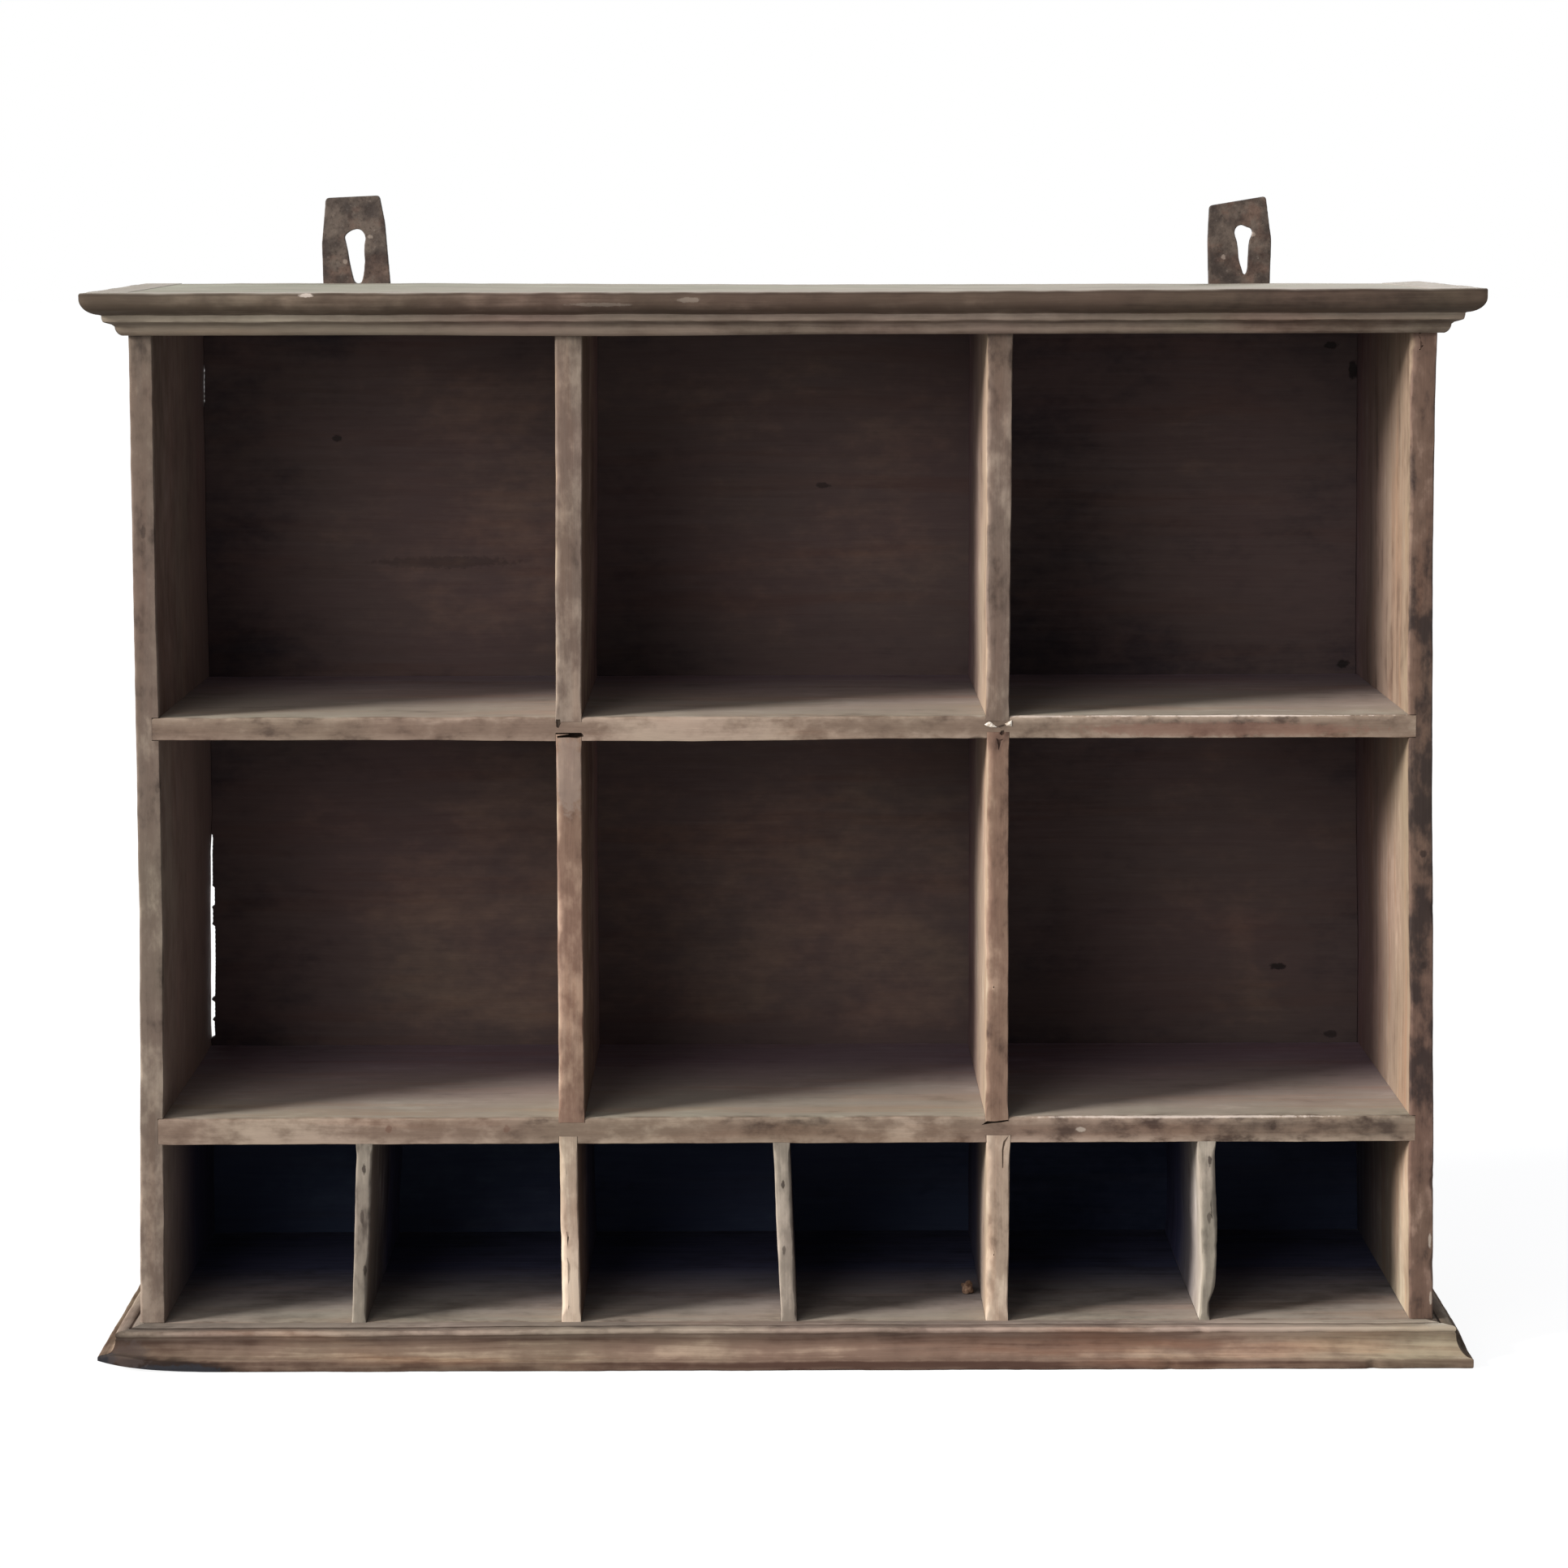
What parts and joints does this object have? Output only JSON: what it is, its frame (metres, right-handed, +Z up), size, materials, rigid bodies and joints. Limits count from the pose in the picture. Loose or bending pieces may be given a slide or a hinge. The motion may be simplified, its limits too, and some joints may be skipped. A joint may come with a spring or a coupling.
{
  "type": "pigeonhole shelving unit",
  "caption": "Wall-hung wooden pigeonhole shelving unit with tall cells over a row of small ones, a mitred cornice, a moulded base and iron keyhole hanging plates.",
  "frame": {"origin": "middle of the overall footprint, cornice and mouldings included, on the surface that the base stands on", "axes": "+X to the right as seen from the open front, +Y from the open front to the back panel, +Z up"},
  "size_m": [0.9, 0.2554, 0.7663],
  "materials": {
    "carcass_wood": "matt, worn brown stain",
    "moulding_wood": "matt, worn dark brown stain",
    "shelf_wood": "matt, worn brown stain, rubbed edges",
    "thin_wood": "rough, bare, greyed",
    "back_wood": "matt, very dark brown",
    "plate_iron": "dark, slightly rusted",
    "screw_iron": "dark, worn"
  },
  "bodies": {
    "root": {"side_left": "carcass_wood", "side_right": "carcass_wood", "top_board": "carcass_wood", "cornice_front": "moulding_wood", "cornice_left": "moulding_wood", "cornice_right": "moulding_wood", "base_moulding_front": "moulding_wood", "base_moulding_left": "moulding_wood", "base_moulding_right": "moulding_wood", "base_board": "shelf_wood", "shelf_upper": "shelf_wood", "shelf_lower": "shelf_wood", "divider_top_left": "shelf_wood", "divider_top_right": "shelf_wood", "divider_middle_left": "shelf_wood", "divider_middle_right": "shelf_wood", "divider_bottom_left": "shelf_wood", "divider_bottom_right": "shelf_wood", "thin_divider_left": "thin_wood", "thin_divider_centre": "thin_wood", "thin_divider_right": "thin_wood", "back_panel": "back_wood", "hanging_plate_left": "plate_iron", "hanging_plate_right": "plate_iron", "plate_screw_left_outer": "screw_iron", "plate_screw_left_inner": "screw_iron", "plate_screw_right_outer": "screw_iron", "plate_screw_right_inner": "screw_iron"}
  },
  "joints": []
}
